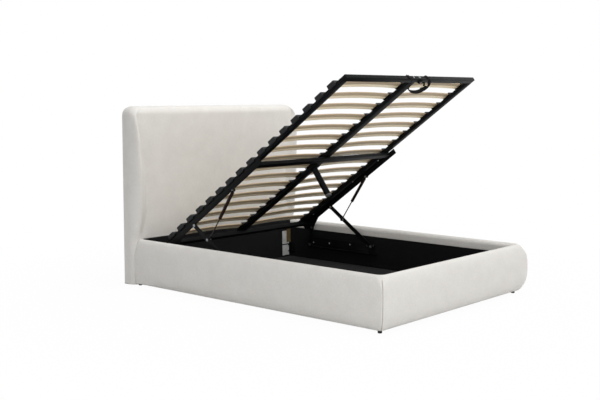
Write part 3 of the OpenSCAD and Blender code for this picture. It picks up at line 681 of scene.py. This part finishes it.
def headOutline(z):                                 # [X, Y] from the back edge round the side to the middle
    h = headSet
    depth, width = wingShape(z)
    full = ease(depth / 0.02)
    low, high = h["crownSpan"]
    swell = ease((z - low) / h["crownFade"]) * ease((high - z) / h["crownFade"])
    nose = h["halfW"] - (h["rollX"] * (1 - full) + h["wingNose"] * width * full)
    crease = min(h["halfW"] - width, nose - 0.004)
    rollBack = h["front"] + h["rollY"]
    tip = h["front"] - depth
    line = [(h["halfW"], h["back"] + (rollBack - h["back"]) * k / 4) for k in range(4)]
    for k in range(17):
        a = k / 16 * math.pi / 2
        line.append((nose + (h["halfW"] - nose) * math.cos(a), rollBack - (rollBack - tip) * math.sin(a)))
    for k in range(1, 15):
        t = k / 14
        stands = depth * (0.5 + 0.5 * math.cos(t * math.pi)) - h["valley"] * full * ease(t)
        line.append((nose + (crease - nose) * t, h["front"] - stands))
    for k in range(1, 41):
        x = crease * (1 - k / 40)
        valley = h["valley"] * full * bell(crease - x, h["valleyWide"])
        crown = h["crown"] * (1 - (x / crease) ** 2) * swell
        line.append((x, h["front"] + valley - crown))
    return line


def headRow(z, share=1.0, drop=0.0):                # one level, drawn to the back where share is under 1
    h = headSet

    def inset(r):
        above = z - (h["top"] - r)
        return 0 if above <= 0 else r - math.sqrt(max(r * r - above * above, 0))
    back = h["back"] - inset(h["backR"])
    front = h["front"] + inset(h["crestR"])
    squeeze = 1 - inset(h["cornerR"]) / h["halfW"]
    half = []
    for x, y in headOutline(z):
        t = (h["back"] - y) / (h["back"] - h["front"]) * share
        y = back - t * (back - front)
        if share == 1.0:
            y += rippled(x, z) * 0.8 * (1 if t > 0.9 else 0)
        half.append(Vector((x * squeeze, y, z + drop)))
    return half + [Vector((-p.x, p.y, p.z)) for p in reversed(half[:-1])]


def headboardPad(name):
    h = headSet
    under = [(0, 0.0035), (0.25, 0.0035), (0.5, 0.0035), (0.7, 0.003), (0.85, 0.0012), (0.93, 0),
             (0.975, 0.0004)]
    rows = [headRow(h["bottom"], share, drop) for share, drop in under]
    rows.append(headRow(h["bottom"] + 0.003))
    level = h["bottom"] + 0.010
    fine, close, wide = h["rowSteps"]
    while level < h["crestFrom"]:                   # rows lie closest where the wing starts
        rows.append(headRow(level))
        if h["wingLow"] - 0.012 < level < h["wingLow"] + 0.03:
            level += fine
        elif level < h["rowsClose"][0] or level > h["rowsClose"][1]:
            level += close
        else:
            level += wide
    for k in range(13):
        rows.append(headRow(h["top"] - h["crestR"] * (1 - math.sin(k / 12 * math.pi / 2))))
    rows += [headRow(h["top"], share) for share in (0.75, 0.5, 0.25, 0)]
    piece = clothGrid(name, rows)
    pickOpenEdge(piece)

    def ring(move):                                 # extrudes the open edge and sets its new points
        bpy.ops.mesh.extrude_region_move()
        editMode(False)
        for vertex in piece.data.vertices:
            if vertex.select:
                vertex.co = move(vertex.co)
        editMode(True)

    side = h["halfW"] - h["backFrame"]
    low, high = h["bottom"] + h["backFrame"], h["top"] - h["backFrame"]
    ring(lambda p: Vector((p.x, h["back"], min(p.z, h["top"] - h["backR"]))))
    ring(lambda p: Vector((min(max(p.x, -side), side), h["back"], min(max(p.z, low), high))))
    ring(lambda p: Vector((p.x, h["front"] + h["backDepth"], p.z)))
    bpy.ops.mesh.edge_face_add()
    bpy.ops.mesh.select_mode(type="VERT")
    editMode(False)
    weldAndFace(piece)
    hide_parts("headboard_pad", "wing_left", "wing_right")
    return finishPiece(piece, linen, "base", 50)


headboardPad("headboardPad")
print("headboard padded")


# steel, plastic and wood from the CAD, with eased edges
edgeSet = {
    "tube": 0.0028,                                 # width of the eased edges
    "plate": 0.0007,
    "slat": 0.0013,
    "holder": 0.0014,
    "strut": 0.0009,
    "merge": 0.00001,
    "flat": 0.4,                                    # faces that differ by less are joined, degrees
    "sharp": 35,                                    # an edge that turns more is eased, degrees
}


def camel(node):                                    # head_bar becomes headBar
    first, *rest = node.split("_")
    return first + "".join(word.title() for word in rest)


def eased(node, kind, material):
    source = nodes[node]
    piece = source.copy()
    piece.data = source.data.copy()
    piece.name = piece.data.name = camel(node)
    piece.parent = None
    for key in list(piece.keys()):
        if key.startswith("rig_"):
            del piece[key]
    bpy.context.scene.collection.objects.link(piece)
    mergeDoubles(piece, edgeSet["merge"])
    bpy.ops.mesh.select_all(action="SELECT")
    bpy.ops.mesh.dissolve_limited(angle_limit=edgeSet["flat"] * deg)
    bpy.ops.mesh.select_all(action="DESELECT")
    editMode(False)
    bevel = piece.modifiers.new("edges", "BEVEL")
    bevel.width = edgeSet[kind]
    bevel.segments = 2
    bevel.limit_method = "ANGLE"
    bevel.angle_limit = edgeSet["sharp"] * deg
    bevel.use_clamp_overlap = True
    bpy.ops.object.modifier_apply(modifier="edges")
    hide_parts(node)
    return finishPiece(piece, material, source["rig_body"], 40)


def dress(name, *stays):                            # CAD nodes that stay get their finish
    for node in stays:
        data = nodes[node].data
        data.materials.clear()
        data.materials.append(finish[name])


tubes = ("platform_tube_left", "platform_tube_right", "foot_bar", "head_bar", "centre_beam", "mid_crossbar",
         "rear_tie_bar")
plates = ("hinge_bar_left", "hinge_bar_right", "base_rail_left", "base_rail_right", "lift_arm_left",
          "lift_arm_right", "rear_link_left", "rear_link_right", "support_leg", "foot_bracket_left",
          "foot_bracket_right", "head_bracket_left", "head_bracket_right")
for node in tubes:
    eased(node, "tube", finish["blackSteel"])
for node in plates:
    eased(node, "plate", finish["blackSteel"])
for side in ("left", "right"):
    eased("slats_" + side, "slat", birch)
    eased("holders_" + side, "holder", finish["blackPlastic"])
    eased("strut_cylinder_" + side, "strut", finish["strutSteel"])
eased("holders_centre", "holder", finish["blackPlastic"])
dress("wallFelt", "left_lining", "right_lining", "foot_lining", "head_lining", "head_crossboard",
      "ledge_left", "ledge_right")
# painted light: the floor panels get the lighter copy of the felt
dress("floorFelt", "floor_panel_foot", "floor_panel_head")
dress("backFelt", "headboard_back")
dress("pine", "left_rail_board", "right_rail_board", "foot_board", "floor_battens", "headboard_frame")
dress("blackSteel", "bracket_bolts")
dress("zinc", "base_rail_bolts", "base_pivot_pins", "platform_pins", "frame_bolts", "strut_studs")
dress("rodSteel", "strut_rod_left", "strut_rod_right")
dress("blackPlastic", "corner_glides", "floor_glides")
dress("greyPlastic", "leg_foot")
print("hard parts dressed")


# pull strap: one length of webbing that wraps the foot bar twice and hangs in a loop
strapSet = {
    "width": 0.026,
    "thick": 0.0018,
    "off": 0.0011,                                  # from the bar's face to the middle of the webbing
    "dark": (6, 6, 6),
    "light": (13, 12, 12),
    "edge": 0.0018,                                 # width of the rounding along both edges
    "tip": 0.0005,
    "rib": 0.0016,                                  # spacing of the ribs across the webbing
    "pick": 0.0022,                                 # and of the weave along it
}


def strapPath():                                    # [middle of the webbing, side it is turned to]
    t = strapSet["off"]
    w, h = platformSet["tubeW"], platformSet["tubeH"]
    leftEnd = [(-0.112, w + t, 0.004), (-0.106, w + t, h - 0.002), (-0.104, w, h + t),
               (-0.089, w / 2, h + t), (-0.0765, 0, h + t), (-0.0755, -t, h - 0.002),
               (-0.066, -t, 0.011), (-0.058, -0.002, -0.001)]
    path = [(onPlatform(*p), (1, 0, 0)) for p in leftEnd]
    path += [(Vector(p), q) for p, q in (
        ((-0.0585, -0.7490, 1.4270), (1, 0.35, 0)), ((-0.0740, -0.7500, 1.4080), (0.8, 0.6, 0)),
        ((-0.0905, -0.7500, 1.3860), (0.6, 0.8, 0.1)), ((-0.0880, -0.7490, 1.3720), (0.3, 0.75, 0.5)),
        ((-0.0630, -0.7480, 1.3640), (0, 0.6, 0.8)), ((-0.0220, -0.7475, 1.3602), (-0.1, 0.5, 0.85)),
        ((0.0200, -0.7475, 1.3632), (-0.1, 0.5, 0.85)), ((0.0600, -0.7480, 1.3736), (-0.1, 0.6, 0.8)),
        ((0.1010, -0.7485, 1.3880), (0.35, 0.5, 0.6)), ((0.1300, -0.7490, 1.4050), (0.8, 0, 0.3)),
        ((0.1425, -0.7490, 1.4230), (0.95, -0.25, 0)))]
    rightEnd = [(0.1430, -0.002, -0.001), (0.1375, -t, 0.011), (0.1290, -t, h - 0.002),
                (0.1275, 0, h + t), (0.1140, w / 2, h + t), (0.0985, w, h + t),
                (0.0970, w + t, h - 0.002), (0.0810, w + t, 0.004), (0.0760, w, -0.005),
                (0.0840, w - 0.006, -0.010), (0.0985, w - 0.014, -0.015)]
    path += [(onPlatform(*p), (1, 0.1, 0)) for p in rightEnd]
    path += [(Vector(p), q) for p, q in (
        ((0.1100, -0.7310, 1.4020), (1, 0.1, 0)), ((0.1010, -0.7400, 1.3925), (0.9, 0.4, 0.2)),
        ((0.0790, -0.7430, 1.3835), (0.3, 0.8, 0.5)), ((0.0560, -0.7445, 1.3768), (0, 0.6, 0.8)))]
    return path


def smoothed(path, steps):                          # a smooth curve through the points
    made = []
    for k in range(len(path) - 1):
        ends = [path[min(max(k + d, 0), len(path) - 1)] for d in (-1, 0, 1, 2)]
        for n in range(steps):
            t = n / steps
            made.append(tuple(0.5 * (2 * Vector(b) + (Vector(c) - Vector(a)) * t
                                     + (2 * Vector(a) - 5 * Vector(b) + 4 * Vector(c) - Vector(d)) * t * t
                                     + (3 * Vector(b) - Vector(a) - 3 * Vector(c) + Vector(d)) * t ** 3)
                              for a, b, c, d in zip(*ends)))
    return made + [tuple(Vector(v) for v in path[-1])]


def webbingBand(name, path, c):
    half, t = c["width"] / 2, c["thick"] / 2
    upper = [(-half, 0), (-half + c["tip"], t * 0.8), (-half + c["edge"], t), (-half / 3, t)]
    upper += [(-a, b) for a, b in reversed(upper)]
    section = upper + [(a, -b) for a, b in reversed(upper[:-1])]
    rows = []
    for k, (middle, turned) in enumerate(path):
        ahead = (path[min(k + 1, len(path) - 1)][0] - path[max(k - 1, 0)][0]).normalized()
        side = (turned - ahead * turned.dot(ahead)).normalized()
        face = side.cross(ahead)
        rows.append([middle + side * a + face * b for a, b in section])
    for index in (0, -1):
        middle = sum(rows[index][:-1], Vector()) / (len(section) - 1)
        rows.insert(0 if index == 0 else len(rows), [middle] * len(section))
    piece = clothGrid(name, rows)
    weldAndFace(piece)
    return piece


def makeWebbing(name, c):
    net = newMaterial(name, {"Specular IOR Level": 0.1})
    across, along = net.parts(net.cloth())[:2]
    ribs = net.math("SINE", across * (2 * math.pi / c["rib"]))
    weave = net.math("SINE", along * (2 * math.pi / c["pick"]) + ribs * 0.8)
    fuzz = net.noise(net.cloth(), 700, 2, 0.7)
    height = ribs * 0.35 + weave * 0.3 + fuzz * 0.35
    net.feed("Base Color", net.mix(net.spread(height, -0.5, 0.8), paint(*c["dark"]), paint(*c["light"])))
    net.feed("Roughness", fuzz * 0.15 + 0.75)
    net.feed("Normal", net.bump(height, 0.5, 0.0005))
    return net.owner


def pullStrap(name):
    piece = webbingBand(name, smoothed(strapPath(), 6), strapSet)
    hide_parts("pull_strap")
    return finishPiece(piece, makeWebbing("webbing", strapSet), "platform", 50)


pullStrap("pullStrap")

# heads of the bolts that carry the struts' lower eyes, on the outside of the arms
armBoltSet = {
    "along": 0.323,                                 # from an arm's lower pivot to the strut's
    "head": 0.0075,                                 # radii and thicknesses
    "headThick": 0.0030,
    "washer": 0.0095,
    "washerThick": 0.0010,
}


def armBolt(name, side):
    b = armBoltSet
    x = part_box("lift_arm_right")[1].x               # outer face of an arm
    pivots = {joint["name"]: Vector(joint["pos_m"]) for joint in frame["joints"] if "pos_m" in joint}
    lower, upper = pivots["lift"], pivots["platform_tilt"]
    y, z = (lower + (upper - lower).normalized() * b["along"]).yz
    parts = []
    for verts, radius, thick in ((48, b["washer"], b["washerThick"]), (6, b["head"], b["headThick"])):
        x += thick / 2
        bpy.ops.mesh.primitive_cylinder_add(vertices=verts, radius=radius, depth=thick,
                                            location=(side * x, y, z),
                                            rotation=(0, math.pi / 2, 0))
        x += thick / 2
        part = bpy.context.object
        bpy.ops.object.transform_apply(location=True, rotation=True, scale=True)
        bevel = part.modifiers.new("edges", "BEVEL")
        bevel.width = 0.0003
        bevel.segments = 2
        bpy.ops.object.modifier_apply(modifier="edges")
        parts.append(part)
    only(parts[0])
    parts[1].select_set(True)
    bpy.ops.object.join()
    parts[0].name = parts[0].data.name = name
    return finishPiece(parts[0], finish["zinc"], "lift_arms")


armBolt("armBoltLeft", -1)
armBolt("armBoltRight", 1)

# staples that hold the back panel
stapleSet = {
    "wide": 0.011,
    "thick": 0.0007,
    "pitch": 0.055,
    "edge": 0.011,                                  # from the panel's edge
}


def backStaples(name, node):
    t = stapleSet
    corners = [Vector(c) for c in nodes[node].bound_box]
    low = [min(c[k] for c in corners) for k in range(3)]
    high = [max(c[k] for c in corners) for k in range(3)]
    spots = []
    for axis, other in ((0, 2), (2, 0)):
        start, end = low[axis] + 2 * t["edge"], high[axis] - 2 * t["edge"]
        count = round((end - start) / t["pitch"])
        for level in (low[other] + t["edge"], high[other] - t["edge"]):
            for k in range(count + 1):
                along = start + (end - start) * k / count
                spots.append((along, level, True) if axis == 0 else (level, along, False))
    bpy.ops.object.select_all(action="DESELECT")
    made = []
    for x, z, flat in spots:
        size = (t["wide"], t["thick"], t["thick"]) if flat else (t["thick"], t["thick"], t["wide"])
        bpy.ops.mesh.primitive_cube_add(size=1, location=(x, high[1] + t["thick"] * 0.3, z))
        staple = bpy.context.object
        staple.scale = size
        bpy.ops.object.transform_apply(location=True, rotation=True, scale=True)
        made.append(staple)
    for staple in made:
        staple.select_set(True)
    bpy.context.view_layer.objects.active = made[0]
    bpy.ops.object.join()
    made[0].name = made[0].data.name = name
    return finishPiece(made[0], finish["zinc"], "base")


backStaples("backStaples", "headboard_back")

# blank sewn tags on the head lining
tagSet = {
    "whiteTagHigh": {"x": (0.6590, 0.7380), "z": (0.1400, 0.2460), "y": 0.9790, "look": "whitePaper"},
    "whiteTagLow": {"x": (0.6600, 0.7370), "z": (0.0480, 0.1310), "y": 0.9770, "look": "whitePaper"},
    "kraftTag": {"x": (0.7080, 0.7560), "z": (0.1510, 0.2570), "y": 0.9765, "look": "kraftPaper"},
}


def sewnTag(name, c):                               # a limp sheet whose lower edge stands off the wall
    start, end = c["x"]
    low, high = c["z"]
    rows = []
    for side in (1, -1):
        band = []
        for j in range(13):
            v = j / 12 if side == 1 else 1 - j / 12
            z = high + (low - high) * v
            lean = 0.002 * v * v
            curls = [0.0012 * math.sin(3 * i / 10 + 4 * v) * v for i in range(11)]
            band.append([Vector((start + (end - start) * i / 10, c["y"] - lean - curl - side * 0.0004, z))
                         for i, curl in enumerate(curls)])
        rows += band
    rows.append(list(rows[0]))
    piece = clothGrid(name, rows)
    pickOpenEdge(piece)
    bpy.ops.mesh.edge_face_add()
    bpy.ops.mesh.select_mode(type="VERT")
    editMode(False)
    weldAndFace(piece)
    return finishPiece(piece, finish[c["look"]], "base")


for name, tag in tagSet.items():
    sewnTag(name, tag)
print("strap and tags made")


# studio
studioSet = {
    "ambient": 0.38,
    "floorSize": 40,
    "floorTone": 0.72,
    "floorWhite": 0.97,                             # share of white that the camera sees near the bed
    "fade": (1.3, 3.2),                             # and all of it between these distances
    "aim": (0, 0.1, 0.5),
    "lamps": {
        "key": ((0.5, -7.5, 1.6), 3.0, 94),         # place, size in metres, watts
        "fill": ((-3.6, -3.2, 1.6), 2.4, 40),
        "side": ((-6.5, -1.2, 2.4), 3.0, 46),
        "top": ((0.2, -0.4, 5.4), 3.4, 172),
        "rim": ((5.0, -3.5, 3.2), 3.0, 98),
    },
}


def whiteToTheCamera(net, kind, share=None):        # with a share the floor keeps some shadow near the bed
    camera = net.node("ShaderNodeLightPath", None, None, "Is Camera Ray")
    glossy, clear = net.outputs(camera, "Is Glossy Ray", "Is Transmission Ray")
    seen = net.math("MAXIMUM", net.math("MAXIMUM", camera, glossy), clear)
    if share is not None:
        away = net.node("ShaderNodeVectorMath", {"operation": "LENGTH"}, {0: net.place()}, "Value")
        seen = seen * net.spread(away, *studioSet["fade"], share, 1)
    white = net.node(kind, None, {"Color": (1, 1, 1, 1), "Strength": 1.0})
    lit = Wire(net, net.shader.outputs[0])
    both = net.node("ShaderNodeMixShader", None, {0: seen, 1: lit, 2: white})
    net.tree.links.new(both.socket, net.end.inputs["Surface"])


def makeStudio(c):
    scene = bpy.context.scene
    scene.view_settings.view_transform = "Standard"
    scene.world = bpy.data.worlds.new("studio")
    ambient = {"Color": (1, 1, 1, 1), "Strength": c["ambient"]}
    sky = Net(scene.world, "Background", "World Output", ambient)
    whiteToTheCamera(sky, "ShaderNodeBackground")
    bpy.ops.mesh.primitive_plane_add(size=c["floorSize"], location=(0, 0, 0))
    floor = bpy.context.object
    floor.name = "studioFloor"
    tone = (c["floorTone"], c["floorTone"], c["floorTone"], 1)
    matt = newMaterial("paleFloor", {"Base Color": tone, "Roughness": 0.9, "Specular IOR Level": 0.1})
    whiteToTheCamera(matt, "ShaderNodeEmission", c["floorWhite"])
    floor.data.materials.append(matt.owner)
    for name, (place, size, watts) in c["lamps"].items():
        bpy.ops.object.light_add(type="AREA", location=place)
        lamp = bpy.context.object
        lamp.name = name + "Lamp"
        lamp.data.size = size
        lamp.data.energy = watts
        lamp.rotation_euler = (Vector(c["aim"]) - Vector(place)).to_track_quat("-Z", "Y").to_euler()


makeStudio(studioSet)
print("studio ready")
